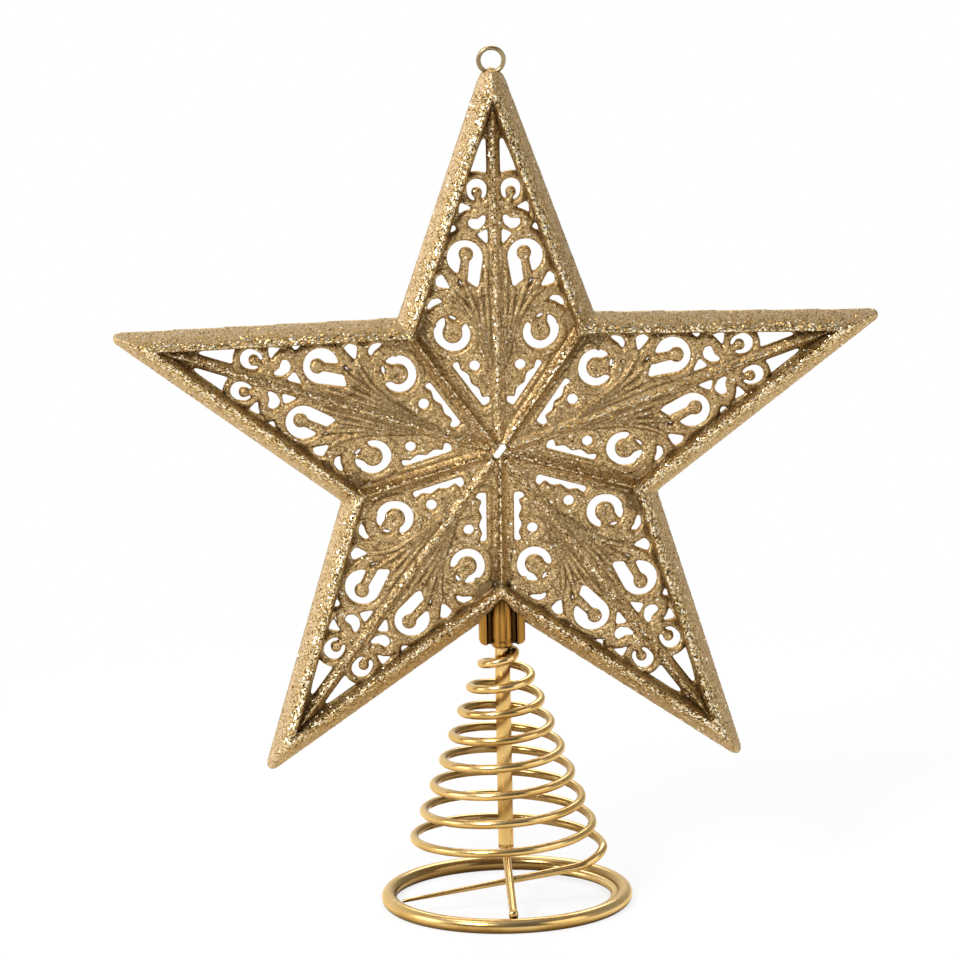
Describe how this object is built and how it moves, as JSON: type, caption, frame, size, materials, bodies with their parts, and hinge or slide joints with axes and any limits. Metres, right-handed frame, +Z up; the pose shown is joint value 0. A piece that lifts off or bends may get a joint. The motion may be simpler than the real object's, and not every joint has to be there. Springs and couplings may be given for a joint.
{
  "type": "christmas tree topper star",
  "caption": "Pierced star on a socket sleeve over a wire stem, with a conical coil spring and a flat base ring that slip over a tree's leader.",
  "frame": {"origin": "on the floor under the stem, at the centre of the base ring", "axes": "+Z up along the stem, +X to the right as the star faces the viewer, the star's front faces -Y"},
  "size_m": [0.1982, 0.0656, 0.2286],
  "materials": {
    "glitter_gold": "moulded plastic under a coat of fine gold glitter",
    "gold_wire": "drawn wire, gold plated, satin",
    "socket_gold": "dark gold lacquer"
  },
  "bodies": {
    "base": {"base_ring": "gold_wire", "foot_strut": "gold_wire", "stem": "gold_wire", "cone_spring": "gold_wire"},
    "sleeve": {"socket_sleeve": "socket_gold"},
    "star": {"frame_front": "glitter_gold", "frame_back": "glitter_gold", "panel_top": "glitter_gold", "panel_left": "glitter_gold", "panel_lower_left": "glitter_gold", "panel_lower_right": "glitter_gold", "panel_right": "glitter_gold", "hanging_eye": "gold_wire", "grip_clip": "socket_gold"}
  },
  "joints": [
    {"name": "star_lift", "type": "slide", "parent": "base", "child": "sleeve", "axis": [0, 0, 1], "range_m": [0, 0.012]},
    {"name": "star_turn", "type": "hinge", "parent": "sleeve", "child": "star", "pos_m": [0, 0, 0.076], "axis": [0, 0, 1], "continuous": true}
  ]
}
